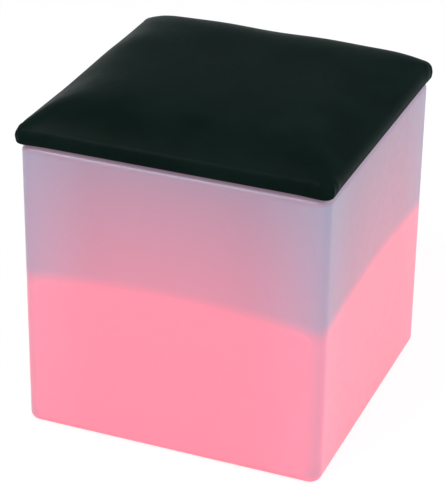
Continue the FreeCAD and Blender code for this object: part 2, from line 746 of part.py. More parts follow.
def charging_inlet():
    """The inlet, clamped to the lid by its nut, and the cover that swivels over it."""
    bore_floor = INLET_TOP - size.inlet_bore_depth
    jack = turned("charge_jack_section", [
        (ZERO, BOARD_TOP),
        (size.inlet_barrel_radius, BOARD_TOP),
        (size.inlet_barrel_radius, LID_TOP),
        (size.inlet_flange_radius, LID_TOP),
        (size.inlet_flange_radius, INLET_TOP),
        (size.inlet_bore_radius, INLET_TOP),
        (size.inlet_bore_radius, bore_floor),
        (ZERO, bore_floor),
    ])
    subpart(copies("charge_jack", jack, [INLET_PLACE]), "charge_jack")
    pin = cylinder("inlet_pin", size.inlet_pin_radius, bore_floor, INLET_TOP - size.inlet_pin_recess,
                   *INLET_PLACE[:2])
    subpart(pin, "inlet_pin")

    nut_bottom = LID_UNDERSIDE - size.inlet_nut_thickness
    nut_blank = doc.addObject("Part::Prism", "inlet_nut_blank")
    nut_blank.Polygon = 6
    bind(nut_blank, Circumradius=size.inlet_nut_radius, Height=size.inlet_nut_thickness)
    place(nut_blank, *INLET_PLACE[:2], nut_bottom)
    nut_hole = cylinder("inlet_nut_hole", size.inlet_barrel_radius + size.thread_clearance,
                        nut_bottom, LID_UNDERSIDE, *INLET_PLACE[:2])
    subpart(cut("inlet_nut", nut_blank, nut_hole), "inlet_nut")

    arm_middle = size.cover_arm_length / 2
    eye_radius = size.cover_arm_width / 2
    plate = fuse("inlet_cover_blank",
                 cylinder("cover_disc", size.cover_radius, COVER_UNDERSIDE, COVER_TOP, *INLET_PLACE[:2]),
                 cylinder("cover_eye", eye_radius, COVER_UNDERSIDE, COVER_TOP, *PIVOT_PLACE[:2]),
                 block("cover_arm", size.cover_arm_length, size.cover_arm_width,
                       COVER_UNDERSIDE, COVER_TOP, -arm_middle, size.inlet_offset))
    pivot_hole = cylinder("cover_pivot_hole", size.tiny_screw_radius + size.cover_play,
                          COVER_UNDERSIDE, COVER_TOP, *PIVOT_PLACE[:2])
    subpart(cut("inlet_cover", plate, pivot_hole), "inlet_cover")
    pivot = screw("pivot", size.tiny_screw_radius, size.tiny_screw_length,
                  size.tiny_head_radius, size.tiny_head_height, COVER_TOP + size.cover_play)
    subpart(copies("cover_pivot", pivot, [PIVOT_PLACE]), "cover_pivot")


def push_buttons():
    """Two buttons in the lid, each with its seal, its switch and the plunger between."""
    seal_bottom = LID_UNDERSIDE - size.button_seal_thickness
    flange_bottom = seal_bottom - size.button_flange_thickness
    switch_top = BOARD_TOP + size.switch_height
    stem_bottom = switch_top + size.button_travel + size.passing_clearance * 2
    plunger_bottom = switch_top - size.plunger_grip
    button_top = LID_TOP + size.button_height
    for name, (x, y, turn) in BUTTON_PLACES.items():
        button = turned(f"{name}_button_section", [
            (ZERO, stem_bottom),
            (size.button_stem_radius, stem_bottom),
            (size.button_stem_radius, flange_bottom),
            (size.button_flange_radius, flange_bottom),
            (size.button_flange_radius, seal_bottom),
            (size.button_radius, seal_bottom),
            (size.button_radius, button_top - size.button_chamfer),
            (size.button_radius - size.button_chamfer, button_top),
            (ZERO, button_top),
        ])
        subpart(copies(f"{name}_button", button, [(x, y, turn)]), f"{name}_button")
        plunger = cylinder(f"{name}_plunger", size.plunger_radius, plunger_bottom, stem_bottom, x, y)
        subpart(plunger, f"{name}_plunger")

    seal = turned("button_seal", [
        (size.button_radius + size.button_clearance, seal_bottom),
        (size.button_seal_radius, seal_bottom),
        (size.button_seal_radius, LID_UNDERSIDE),
        (size.button_radius + size.button_clearance, LID_UNDERSIDE),
    ])
    subpart(copies("button_seals", seal, BUTTON_PLACES.values()), "button_seals")

    cases = gather("switch_cases", [
        block(f"switch_case_{number}", size.switch_width, size.switch_width, BOARD_TOP, switch_top, x, y)
        for number, (x, y, turn) in enumerate(BUTTON_PLACES.values(), start=1)])
    well_bottom = plunger_bottom - size.button_travel - size.plunger_clearance
    wells = pegs("switch_wells", size.plunger_radius + size.plunger_clearance,
                 well_bottom, switch_top, BUTTON_PLACES.values())
    subpart(cut("tact_switches", cases, wells), "tact_switches")


def control_board():
    """The round control board on the posts of the lid, with its larger components."""
    disc = cylinder("control_board_disc", size.board_radius, BOARD_UNDERSIDE, BOARD_TOP)
    holes = pegs("control_board_holes", size.tiny_screw_radius + size.passing_clearance,
                 BOARD_UNDERSIDE, BOARD_TOP, BOARD_POST_PLACES)
    subpart(cut("control_board", disc, holes), "control_board")
    board_screw = screw("board_screw", size.tiny_screw_radius, size.tiny_screw_length,
                        size.tiny_head_radius, size.tiny_head_height, BOARD_UNDERSIDE, points_up=True)
    subpart(copies("board_screws", board_screw, BOARD_POST_PLACES), "board_screws")
    step = size.component_spacing
    components = gather("board_components", [
        cylinder("capacitor", size.capacitor_radius, BOARD_TOP, BOARD_TOP + size.capacitor_height, -step),
        cylinder("second_capacitor", size.capacitor_radius, BOARD_TOP, BOARD_TOP + size.capacitor_height,
                 -step * 2),
        block("chip", size.chip_width, size.chip_width, BOARD_TOP, BOARD_TOP + size.chip_height),
        block("coil", size.coil_width, size.coil_width, BOARD_TOP, BOARD_TOP + size.coil_height, step),
        block("driver_chip", size.chip_width, size.chip_width, BOARD_TOP, BOARD_TOP + size.chip_height,
              step * 2),
    ])
    subpart(components, "board_components")


def battery():
    """Four round cells in a holder on the ledge, held down by a cover and one screw."""
    nub_top = BATTERY_COVER_UNDERSIDE
    cell_top = nub_top - size.cell_nub_height
    cell = turned("cell", [
        (ZERO, CELL_BOTTOM),
        (size.cell_radius, CELL_BOTTOM),
        (size.cell_radius, cell_top),
        (size.cell_nub_radius, cell_top),
        (size.cell_nub_radius, nub_top),
        (ZERO, nub_top),
    ])
    subpart(copies("battery_cells", cell, CELL_PLACES), "battery_cells")

    cup_bore = size.cell_radius + size.cell_shrink_clearance
    cup_radius = cup_bore + size.holder_cup_wall
    cup_top = CELL_BOTTOM + size.holder_cup_height
    bite = size.holder_base_thickness / 3
    blank = fuse("holder_blank",
                 cylinder("holder_base", size.holder_radius, LEDGE_TOP, CELL_BOTTOM),
                 pegs("holder_cups", cup_radius, CELL_BOTTOM - bite, cup_top, CELL_PLACES),
                 cylinder("holder_post", size.holder_post_radius, CELL_BOTTOM - bite,
                          BATTERY_COVER_UNDERSIDE))
    screw_end = BATTERY_COVER_TOP - size.small_screw_length
    openings = gather("holder_openings", [
        pegs("holder_cup_bores", cup_bore, CELL_BOTTOM, cup_top, CELL_PLACES),
        cylinder("holder_lead_hole", size.led_lead_hole_radius, LEDGE_TOP, CELL_BOTTOM, size.led_lead_offset),
        cylinder("holder_screw_hole", size.small_screw_radius + size.thread_clearance,
                 screw_end - size.hole_bottom_room, BATTERY_COVER_UNDERSIDE),
    ])
    subpart(cut("battery_holder", blank, openings), "battery_holder")

    cover = turned("battery_cover", [
        (size.small_screw_radius + size.passing_clearance, BATTERY_COVER_UNDERSIDE),
        (size.battery_cover_radius, BATTERY_COVER_UNDERSIDE),
        (size.battery_cover_radius, BATTERY_COVER_TOP),
        (size.small_screw_radius + size.passing_clearance, BATTERY_COVER_TOP),
    ])
    subpart(cover, "battery_cover")
    subpart(screw("battery_screw", size.small_screw_radius, size.small_screw_length,
                  size.small_head_radius, size.small_head_height, BATTERY_COVER_TOP), "battery_screw")
    spread = size.battery_lead_spread
    short_leads = pegs("battery_leads", size.lead_radius, BATTERY_COVER_TOP, BOARD_UNDERSIDE,
                       [(spread * side, spread * 2, 0) for side in (-1, 1)])
    subpart(short_leads, "battery_leads")
    long_leads = pegs("led_leads", size.lead_radius, SINK_UNDERSIDE, BOARD_UNDERSIDE, LED_LEAD_PLACES)
    subpart(long_leads, "led_leads")


def heat_sink():
    """An aluminium cup with fins, between the ledge above and the reflector below."""
    radius = CANISTER_BORE - size.sink_clearance
    ring_bore = radius - size.sink_ring_width
    base_top = SINK_UNDERSIDE + size.sink_base_thickness
    cup = turned("sink_cup", [
        (ZERO, SINK_UNDERSIDE),
        (radius, SINK_UNDERSIDE),
        (radius, LEDGE_UNDERSIDE),
        (ring_bore, LEDGE_UNDERSIDE),
        (ring_bore, base_top),
        (ZERO, base_top),
    ])
    fin_bottom = base_top - size.sink_base_thickness / 4
    fin_top = LEDGE_UNDERSIDE - size.fin_top_room
    middle = (FIN_COUNT - 1) / 2
    fins = gather("fin_blanks", [
        block(f"fin_{number}", size.fin_thickness, radius * 2, fin_bottom, fin_top,
              size.fin_pitch * (number - middle))
        for number in range(FIN_COUNT)])
    trimmer = cylinder("fin_trimmer", ring_bore + size.sink_ring_width / 2, fin_bottom, fin_top)
    blank = fuse("sink_blank", cup, common("fins", fins, trimmer))
    led_thread = size.tiny_screw_radius + size.thread_clearance
    holes = gather("sink_holes", [
        cylinder("sink_lead_hole", size.led_lead_hole_radius, SINK_UNDERSIDE, base_top, size.led_lead_offset),
        pegs("sink_screw_holes", led_thread, SINK_UNDERSIDE, base_top, LED_SCREW_PLACES),
    ])
    subpart(cut("heat_sink", blank, holes), "heat_sink")


def lamp():
    """The LED board under the heat sink, the reflector, and the window in its ring."""
    board = cylinder("led_board_disc", size.led_board_radius, LED_BOARD_UNDERSIDE, SINK_UNDERSIDE)
    board_holes = pegs("led_board_holes", size.tiny_screw_radius + size.passing_clearance,
                       LED_BOARD_UNDERSIDE, SINK_UNDERSIDE, LED_SCREW_PLACES)
    subpart(cut("led_board", board, board_holes), "led_board")
    led_places = [(ZERO, ZERO, 0)] + ring_places(size.led_circle_radius, even_angles(LED_COUNT))
    led_underside = LED_BOARD_UNDERSIDE - size.led_height
    chips = gather("led_chips", [
        block(f"led_{number}", size.led_width, size.led_width, led_underside, LED_BOARD_UNDERSIDE, x, y)
        for number, (x, y, turn) in enumerate(led_places, start=1)])
    subpart(chips, "led_chips")
    led_screw_length = size.led_board_thickness + size.sink_base_thickness * 0.8
    led_screw = screw("led_screw", size.tiny_screw_radius, led_screw_length,
                      size.tiny_head_radius, size.tiny_head_height, LED_BOARD_UNDERSIDE, points_up=True)
    subpart(copies("led_board_screws", led_screw, LED_SCREW_PLACES), "led_board_screws")

    throat = size.led_board_radius + size.reflector_clearance
    rim = CANISTER_BORE - size.sink_clearance
    reflector = turned("reflector", [
        (throat + size.reflector_flare, CANISTER_END),
        (rim, CANISTER_END),
        (rim, SINK_UNDERSIDE),
        (throat, SINK_UNDERSIDE),
    ])
    subpart(reflector, "reflector")
    gasket = turned("lens_gasket", [
        (size.lens_gasket_inner_radius, WINDOW_TOP),
        (size.canister_radius, WINDOW_TOP),
        (size.canister_radius, CANISTER_END),
        (size.lens_gasket_inner_radius, CANISTER_END),
    ])
    subpart(gasket, "lens_gasket")
    subpart(cylinder("lens_window", size.window_radius, WINDOW_UNDERSIDE, WINDOW_TOP), "lens_window")

    ring_radius = size.canister_radius + size.canister_boss_offset + size.canister_boss_radius
    shelf_radius = size.window_radius + size.window_clearance
    ring = turned("ring_blank", [
        (size.ring_inner_radius, RING_UNDERSIDE),
        (ring_radius, RING_UNDERSIDE),
        (ring_radius, WINDOW_TOP),
        (shelf_radius, WINDOW_TOP),
        (shelf_radius, WINDOW_UNDERSIDE),
        (size.ring_inner_radius, WINDOW_UNDERSIDE),
    ])
    ring_holes = pegs("ring_holes", size.small_screw_radius + size.passing_clearance,
                      RING_UNDERSIDE, WINDOW_TOP, CANISTER_BOSS_PLACES)
    subpart(cut("lens_ring", ring, ring_holes), "lens_ring")
    ring_screw = screw("ring_screw", size.small_screw_radius, size.small_screw_length,
                       size.small_head_radius, size.small_head_height, RING_UNDERSIDE, points_up=True)
    subpart(copies("ring_screws", ring_screw, CANISTER_BOSS_PLACES), "ring_screws")


# The padded seat


def flat_section(name, half_width, corner_radius, height):
    """One level line of the crown, drawn as a sketch of its own."""
    sketch = doc.addObject("Sketcher::SketchObject", name)
    draw_rounded_square(sketch, half_width, corner_radius)
    place(sketch, z=height)
    return sketch


def crowned_form(name, half_width, corner_radius, bottom, edge_top):
    """A cushion form: upright sides up to the edge, then a crown lofted over its level lines."""
    sections = []
    for number, inset in enumerate(CROWN_INSETS):
        rise = size.seat_crown_rise * (1 - (1 - inset) ** CROWN_FULLNESS)
        radius = corner_radius + half_width * (inset * CROWN_CORNER_GROWTH)
        sections.append(flat_section(f"{name}_level_{number}", half_width * (1 - inset), radius,
                                     edge_top + rise))
    crown = doc.addObject("Part::Loft", f"{name}_crown")
    crown.Sections = sections
    crown.Solid = True
    crown.Ruled = False
    sides = rounded_prism(f"{name}_sides", half_width, corner_radius, bottom, edge_top)
    return fuse(name, sides, crown)


def staple_places():
    """Where the staples stand, round the middle of the turned-in hem."""
    reach = size.seat_half_width - size.hem_width / 2
    middle = (STAPLES_PER_SIDE - 1) / 2
    places = []
    for step in range(STAPLES_PER_SIDE):
        along = size.staple_pitch * (step - middle)
        places += [(along, -reach, 0), (along, reach, 0), (-reach, along, 90), (reach, along, 90)]
    return places


def staples():
    """Wire staples through the hem into the board. Gives the group, which cuts its own slits."""
    crown_bottom = SEAT_UNDERSIDE - size.staple_wire
    leg_offset = size.staple_width / 2 - size.staple_wire / 2
    staple = fuse("staple",
                  block("staple_crown", size.staple_width, size.staple_wire_breadth,
                        crown_bottom, SEAT_UNDERSIDE),
                  *[block(f"staple_leg_{number}", size.staple_wire, size.staple_wire_breadth,
                          crown_bottom, SEAT_UNDERSIDE + size.staple_leg_length, leg_offset * side)
                    for number, side in enumerate((-1, 1), start=1)])
    return subpart(copies("cover_staples", staple, staple_places()), "cover_staples")


def padded_seat():
    """The leatherette cover, the foam, and the board that the cover is stapled to."""
    driven = staples()
    skin = size.cover_skin
    edge_top = SEAT_UNDERSIDE + size.seat_edge_height
    outside = crowned_form("cover_outside", size.seat_half_width, size.seat_corner_radius,
                           SEAT_UNDERSIDE, edge_top)
    inside = crowned_form("cover_inside", size.seat_half_width - skin, size.seat_corner_radius - skin,
                          SEAT_BOARD_UNDERSIDE, edge_top - skin)
    hem_opening = rounded_prism("hem_opening", size.seat_half_width - size.hem_width,
                                size.seat_corner_radius, SEAT_UNDERSIDE, SEAT_BOARD_UNDERSIDE)
    bumper_room = pegs("bumper_room", size.bumper_radius + size.bumper_hem_clearance,
                       SEAT_UNDERSIDE, SEAT_BOARD_UNDERSIDE, square_places(size.bumper_offset))
    hollow = cut("cover_hollowed", outside, fuse("cover_void", inside, hem_opening, bumper_room))
    subpart(cut("seat_cover", hollow, driven), "seat_cover")

    # The board and the foam share the room inside the cover, parted at the top of the board.
    inset = skin + size.seat_board_clearance
    filling = crowned_form("seat_filling", size.seat_half_width - inset, size.seat_corner_radius - inset,
                           SEAT_BOARD_UNDERSIDE, edge_top - skin)
    board_room = block("seat_board_room", size.seat_half_width * 2, size.seat_half_width * 2,
                       SEAT_BOARD_UNDERSIDE, SEAT_BOARD_TOP)
    panel = common("seat_panel", filling, board_room)
    pilots = pegs("batten_pilots", size.batten_screw_radius + size.thread_clearance,
                  SEAT_BOARD_UNDERSIDE, BATTEN_SCREW_SEAT + size.batten_screw_length, batten_screw_places())
    panel_drilled = cut("seat_panel_drilled", panel, pilots)
    subpart(cut("seat_board", panel_drilled, driven), "seat_board")

    foam_inset = inset + size.foam_clearance
    padding = crowned_form("seat_padding", size.seat_half_width - foam_inset,
                           size.seat_corner_radius - inset, SEAT_BOARD_UNDERSIDE, edge_top - skin)
    subpart(cut("seat_foam", padding, board_room), "seat_foam")


BATTEN_UNDERSIDE = SEAT_BOARD_UNDERSIDE - size.batten_thickness
BATTEN_SCREW_SEAT = BATTEN_UNDERSIDE + size.batten_counterbore_depth
BATTEN_REACH = size.recess_width / 2 - size.batten_play - size.batten_width / 2


def batten_screw_places():
    places = []
    middle = (SCREWS_PER_BATTEN - 1) / 2
    for step in range(SCREWS_PER_BATTEN):
        along = size.batten_screw_pitch * (step - middle)
        places += [(along, -BATTEN_REACH, 0), (along, BATTEN_REACH, 0)]
        places += [(-BATTEN_REACH, along, 0), (BATTEN_REACH, along, 0)]
    return places


def seat_underside():
    """Battens that drop into the recess, their screws, and the bumpers that the seat stands on."""
    long, wide = size.batten_length, size.batten_width
    bars = gather("batten_bars", [
        block("front_batten", long, wide, BATTEN_UNDERSIDE, SEAT_BOARD_UNDERSIDE, ZERO, -BATTEN_REACH),
        block("rear_batten", long, wide, BATTEN_UNDERSIDE, SEAT_BOARD_UNDERSIDE, ZERO, BATTEN_REACH),
        block("left_batten", wide, long, BATTEN_UNDERSIDE, SEAT_BOARD_UNDERSIDE, -BATTEN_REACH, ZERO),
        block("right_batten", wide, long, BATTEN_UNDERSIDE, SEAT_BOARD_UNDERSIDE, BATTEN_REACH, ZERO),
    ])
    bores = fuse("batten_bores",
                 pegs("batten_counterbores", size.batten_counterbore_radius,
                      BATTEN_UNDERSIDE, BATTEN_SCREW_SEAT, batten_screw_places()),
                 pegs("batten_holes", size.batten_screw_radius + size.passing_clearance,
                      BATTEN_SCREW_SEAT, SEAT_BOARD_UNDERSIDE, batten_screw_places()))
    subpart(cut("locating_battens", bars, bores), "locating_battens")
    batten_screw = screw("batten_screw", size.batten_screw_radius, size.batten_screw_length,
                         size.large_head_radius, size.large_head_height, BATTEN_SCREW_SEAT, points_up=True)
    subpart(copies("batten_screws", batten_screw, batten_screw_places()), "batten_screws")
    subpart(pegs("seat_bumpers", size.bumper_radius, SHELL_TOP, SEAT_BOARD_UNDERSIDE,
                 square_places(size.bumper_offset)), "seat_bumpers")


def write_parts():
    """Checks every object and then writes one file for each sub-part."""
    doc.recompute()
    for thing in doc.Objects:
        if {"Invalid", "Error"} & set(thing.State):
            raise RuntimeError(f"{thing.Label} could not be made")
    for piece in SUBPARTS:
        if piece.Shape.isNull() or not piece.Shape.isValid():
            raise RuntimeError(f"{piece.Label} has no sound shape")
    os.makedirs("parts", exist_ok=True)
    for piece in SUBPARTS:
        piece.Shape.exportStep(f"parts/{piece.Label}.step")
        print(f"{piece.Label}: {len(piece.Shape.Solids)} solids, {piece.Shape.Volume / 1000:.2f} cm3")


moulded_cube()
feet()
lamp_fixings()
canister()
canister_lid()
charging_inlet()
push_buttons()
control_board()
battery()
heat_sink()
lamp()
padded_seat()
seat_underside()
write_parts()
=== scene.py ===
import math

import bpy
from mathutils import Matrix, Vector


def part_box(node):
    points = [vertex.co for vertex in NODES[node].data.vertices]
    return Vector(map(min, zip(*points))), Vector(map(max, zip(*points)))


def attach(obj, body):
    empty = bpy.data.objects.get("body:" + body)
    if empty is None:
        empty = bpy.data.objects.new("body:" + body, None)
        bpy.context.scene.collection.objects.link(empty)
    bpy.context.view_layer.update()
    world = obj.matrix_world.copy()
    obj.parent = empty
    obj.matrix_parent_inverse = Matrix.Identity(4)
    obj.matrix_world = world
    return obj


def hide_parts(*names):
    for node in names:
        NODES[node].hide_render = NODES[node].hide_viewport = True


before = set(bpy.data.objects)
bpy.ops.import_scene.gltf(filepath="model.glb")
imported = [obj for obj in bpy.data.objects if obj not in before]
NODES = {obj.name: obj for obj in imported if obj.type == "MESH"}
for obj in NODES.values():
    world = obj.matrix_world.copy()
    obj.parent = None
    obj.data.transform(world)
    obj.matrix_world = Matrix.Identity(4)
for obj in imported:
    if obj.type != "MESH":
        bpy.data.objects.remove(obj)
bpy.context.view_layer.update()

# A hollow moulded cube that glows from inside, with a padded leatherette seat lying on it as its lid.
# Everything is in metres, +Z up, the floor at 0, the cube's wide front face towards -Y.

MM = 0.001
WHITE = (1.0, 1.0, 1.0, 1.0)

# The camera, fitted to the edges of the cube in the photograph
CAMERA_AZIMUTH = math.radians(21.534)
CAMERA_ELEVATION = math.radians(27.743)
CAMERA_ROLL = math.radians(0.808)
CAMERA_DISTANCE = 2.711
CAMERA_TARGET = Vector((-0.0095, 0.0, 0.1933))
CAMERA_SENSOR = 36.0
CAMERA_LENS = 149.3


# Shader values and nodes


class Value:
    """One value in a finish. Sums written on it add the Math nodes."""

    def __init__(self, finish, socket):
        self.finish = finish
        self.socket = socket

    def __add__(self, other):
        return self.finish.maths("ADD", self, other)

    __radd__ = __add__

    def __sub__(self, other):
        return self.finish.maths("SUBTRACT", self, other)

    def __rsub__(self, other):
        return self.finish.maths("SUBTRACT", other, self)

    def __mul__(self, other):
        return self.finish.maths("MULTIPLY", self, other)

    __rmul__ = __mul__

    def __truediv__(self, other):
        return self.finish.maths("DIVIDE", self, other)

    def __pow__(self, other):
        return self.finish.maths("POWER", self, other)

    def __abs__(self):
        return self.finish.maths("ABSOLUTE", self)


class Finish:
    """The finish of one material, made of nodes."""

    def __init__(self, name, holder=None):
        self.holder = holder or bpy.data.materials.new(name)
        self.holder.use_nodes = True
        self.tree = self.holder.node_tree
        self.tree.nodes.clear()

    def node(self, kind, settings=None, sockets=None, output=0):
        """Adds a node: first its settings, then the values or links of its sockets."""
        made = self.tree.nodes.new(kind)
        for name, setting in (settings or {}).items():
            setattr(made, name, setting)
        for name, value in (sockets or {}).items():
            if isinstance(value, Value):
                self.tree.links.new(value.socket, made.inputs[name])
            else:
                made.inputs[name].default_value = value
        return Value(self, made.outputs[output])

    def maths(self, operation, *values):
        return self.node("ShaderNodeMath", {"operation": operation}, dict(enumerate(values)))

    def place(self):
        """The point on the piece, in metres, which moves with the piece."""
        return self.node("ShaderNodeTexCoord", output="Object")

    def along(self, axis):
        return self.node("ShaderNodeSeparateXYZ", sockets={0: self.place()}, output=axis)

    def facing(self, axis):
        """How far the surface faces along an axis, from -1 to 1."""
        normal = self.node("ShaderNodeNewGeometry", output="Normal")
        return self.node("ShaderNodeSeparateXYZ", sockets={0: normal}, output=axis)

    def point(self, x, y, z):
        return self.node("ShaderNodeCombineXYZ", sockets={0: x, 1: y, 2: z})

    def cloudy(self, scale, detail=3.0, roughness=0.5, vector=None, distortion=0.0):
        """Soft noise from 0 to 1, its scale in blobs per metre."""
        return self.node("ShaderNodeTexNoise", sockets={
            "Vector": vector or self.place(), "Scale": scale, "Detail": detail,
            "Roughness": roughness, "Distortion": distortion})

    def cells(self, scale):
        """Distance to the middle of the nearest cell, its scale in cells per metre."""
        return self.node("ShaderNodeTexVoronoi", sockets={"Vector": self.place(), "Scale": scale},
                         output="Distance")

    def ease(self, value, start, end, low=0.0, high=1.0):
        """Goes smoothly from low to high as the value goes from start to end."""
        return self.node("ShaderNodeMapRange", {"interpolation_type": "SMOOTHSTEP"}, {
            "Value": value, "From Min": start, "From Max": end, "To Min": low, "To Max": high})

    def patchy(self, noise, low=0.0, high=1.0):
        """Spreads soft noise, which keeps near its middle, over the range from low to high."""
        return self.ease(noise, 0.3, 0.7, low, high)

    def tint(self, factor, first, second):
        """A colour between two others."""
        return self.node("ShaderNodeMix", {"data_type": "RGBA"}, {0: factor, 6: first, 7: second}, 2)

    def dimmed(self, colour, amount):
        """A constant colour times a varying amount."""
        return self.node("ShaderNodeVectorMath", {"operation": "SCALE"}, {0: colour[:3], "Scale": amount})

    def bumps(self, height, depth, strength=1.0):
        """The normal of a surface with relief of this height from 0 to 1, its depth in metres."""
        return self.node("ShaderNodeBump", sockets={
            "Strength": strength, "Distance": depth, "Height": height})

    def surface(self, **sockets):
        """Ends the material in one principled shader. Underscores in names stand for spaces."""
        named = {name.replace("_", " "): value for name, value in sockets.items()}
        self.finish_with(self.node("ShaderNodeBsdfPrincipled", sockets=named))
        return self.holder

    def finish_with(self, shader):
        """Ends the material or the world in this shader."""
        output = "World" if isinstance(self.holder, bpy.types.World) else "Material"
        end = self.tree.nodes.new(f"ShaderNodeOutput{output}")
        self.tree.links.new(shader.socket, end.inputs["Surface"])


def shade(colour, factor):
    """A colour made lighter or darker."""
    return (*[min(1.0, channel * factor) for channel in colour[:3]], 1.0)


# The glowing shell

SHELL_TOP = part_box("cube_shell")[1].z
MILKY = (0.30, 0.345, 0.46, 1.0)
GLOW = (1.0, 0.015, 0.03)

# The lamp's lip cuts its light off along a cone, which falls away from the lip at this slope.
LAMP_LIP_RADIUS = 45 * MM
LAMP_LIP_HEIGHT = 248.7 * MM
CUTOFF_SLOPE = 0.1444
CUTOFF_SOFTNESS = 16 * MM

# The glow that the lamp's own light gives the walls, and the share of it that reaches their foot
DIRECT_GLOW = 0.86
FOOT_SHARE = 0.84
FOOT_HEIGHT = 45 * MM

# The glow of the light thrown back inside: at the very top, and what it gains down to this depth
TOP_GLOW = 0.165
GAINED_GLOW = 0.345
GAIN_DEPTH = 154 * MM
GAIN_CURVE = 0.7

# Towards the upright edges the glow fades, and the milky colour is painted lighter there as a painted
# highlight of the studio light, partly hidden where the direct glow is. The four limits are shares of a
# wall's reach.
WALL_REACH = 160 * MM
SIDE_FADE = 0.34
SIDE_CURVE = 2.6
EDGE_SHARE = 0.68
EDGE_FROM, EDGE_TO = 1.05, 1.25
EDGE_HIGHLIGHT_FROM, EDGE_HIGHLIGHT_TO = 0.55, 1.25
EDGE_HIGHLIGHT_LIFT = 1.25
EDGE_HIGHLIGHT_HIDDEN = 0.6

# What the faces at both ends of X lose of the light thrown back, blended in across the edges
END_FACE_LOSS = 0.28
EDGE_BLEND = 20 * MM

# The rounding at the top, from where it starts to where it is full: the glow that it loses, and the
# daylight that soaks in round it
RIM_FOOT = SHELL_TOP - 7 * MM
RIM_FULL = SHELL_TOP - 2 * MM
RIM_LOSS = 0.45
RIM_DAYLIGHT = 0.30

# The slow ripples of the moulded walls, their count per metre and their depth
RIPPLES = 14
RIPPLE_DEPTH = 0.4 * MM


def glowing_shell():
    """Milky plastic. The lamp hangs in the middle and shines down, so the walls are bright below the
    cone that its lip cuts off, and above it only the light thrown back inside makes them glow. Less of
    that reaches the faces at both ends of X."""
    finish = Finish("milky_polyethylene")
    x, y, z = [finish.along(axis) for axis in range(3)]
    across, back = abs(x), abs(y)
    reach = (x * x + y * y) ** 0.5
    cutoff = LAMP_LIP_HEIGHT - CUTOFF_SLOPE * (reach - LAMP_LIP_RADIUS)
    direct = finish.ease(z - cutoff, CUTOFF_SOFTNESS, -CUTOFF_SOFTNESS)

    upright = 1 - abs(finish.facing(2))
    sideways = upright * finish.maths("MINIMUM", across, back) / WALL_REACH
    depth = finish.maths("MAXIMUM", (SHELL_TOP - z) / GAIN_DEPTH, 0.0)
    spread = 1 - SIDE_FADE * sideways ** SIDE_CURVE
    kept = 1 - END_FACE_LOSS * (upright * finish.ease(across - back, -EDGE_BLEND, EDGE_BLEND))
    thrown_back = (TOP_GLOW + GAINED_GLOW * depth ** GAIN_CURVE) * spread * kept
    near_foot = finish.ease(z, 0.0, FOOT_HEIGHT, FOOT_SHARE, 1.0)
    edge = finish.ease(sideways, EDGE_FROM, EDGE_TO, 1.0, EDGE_SHARE)
    glow = thrown_back * (1 - direct) + DIRECT_GLOW * near_foot * edge * direct

    # Painted highlight: the milky colour is made lighter towards the upright edges, less so where the
    # direct glow is.
    thickness_and_edge_highlight = finish.ease(sideways, EDGE_HIGHLIGHT_FROM, EDGE_HIGHLIGHT_TO) * (1 - EDGE_HIGHLIGHT_HIDDEN * direct)
    rim = finish.ease(z, RIM_FOOT, RIM_FULL)
    glowing = finish.dimmed(GLOW, glow * (1 - RIM_LOSS * rim))
    soaked = finish.dimmed(MILKY, RIM_DAYLIGHT * rim)
    shining = finish.node("ShaderNodeVectorMath", {"operation": "ADD"}, {0: glowing, 1: soaked})
    # The base colour carries the painted highlight on the upright edges.
    return finish.surface(
        Base_Color=finish.tint(thickness_and_edge_highlight, MILKY, shade(MILKY, EDGE_HIGHLIGHT_LIFT)),
        Roughness=finish.patchy(finish.cloudy(60), 0.38, 0.44),
        IOR=1.45, Specular_IOR_Level=0.2, Coat_Weight=0.3, Coat_Roughness=0.14,
        Emission_Color=shining, Emission_Strength=1.0,
        Normal=finish.bumps(finish.cloudy(RIPPLES, 1.0), RIPPLE_DEPTH))


# The seat's leatherette, its counts per metre

LEATHERETTE = (0.0046, 0.0115, 0.0093, 1.0)
PEBBLES, FINE_PEBBLES = 900, 2100
CREASES = 160
WORN_PATCHES = 14
GRAIN_DEPTH = 0.16 * MM


def leatherette():
    """Black coated cloth with a faint green cast, embossed with a fine pebble grain."""
    finish = Finish("black_leatherette")
    pebble = finish.cells(PEBBLES) + 0.4 * finish.cells(FINE_PEBBLES)
    creases = finish.cloudy(CREASES, 4.0, 0.6)
    grain = pebble * 0.6 + creases * 0.4
    worn = finish.patchy(finish.cloudy(WORN_PATCHES, 3.0))
    return finish.surface(
        Base_Color=finish.tint(worn, shade(LEATHERETTE, 0.85), shade(LEATHERETTE, 1.15)),
        Roughness=finish.ease(creases, 0.25, 0.75, 0.36, 0.44), IOR=1.052,
        Sheen_Weight=0.03, Sheen_Roughness=0.4, Sheen_Tint=(0.4, 1.0, 0.9, 1.0),
        Normal=finish.bumps(grain, GRAIN_DEPTH, 0.7))


# The seat's form. A level line of the crown is a rounded square, given by how far in from the edge
# it lies, and the grid of the top follows these lines. A rounded edge leads from the crown, which
# starts at the slope that its rise and fullness give, down to the upright side.

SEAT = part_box("seat_cover")
SEAT_HALF = SEAT[1].x
SEAT_UNDERSIDE = SEAT[0].z
SEAT_TOP = SEAT[1].z
EDGE_HEIGHT = 15 * MM
CROWN_RISE = SEAT_TOP - SEAT_UNDERSIDE - EDGE_HEIGHT
CROWN_FULLNESS = 6.5
CROWN_SLOPE = math.atan(CROWN_RISE * CROWN_FULLNESS / SEAT_HALF)
CORNER_RADIUS = 11.5 * MM
CORNER_GROWTH = 0.45
HEM_WIDTH = 30 * MM
HEM_TURN = 2.2 * MM
SKIN = 1.3 * MM
GRID = 82
CORNER_CROWDING = 1.25
RING_CROWDING = 1.3
ROUNDEST = 0.98
LEAST_RADIUS = 2 * MM

# The foam is drawn in from the cover. Its underside lies just over the board, at this height above
# the seat's underside, and its rounded edge ends a little higher.
FOAM_INSET = 4.5 * MM
FOAM_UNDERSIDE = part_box("seat_board")[1].z - SEAT_UNDERSIDE + 0.3 * MM
FOAM_EDGE_FOOT = FOAM_UNDERSIDE + 0.2 * MM

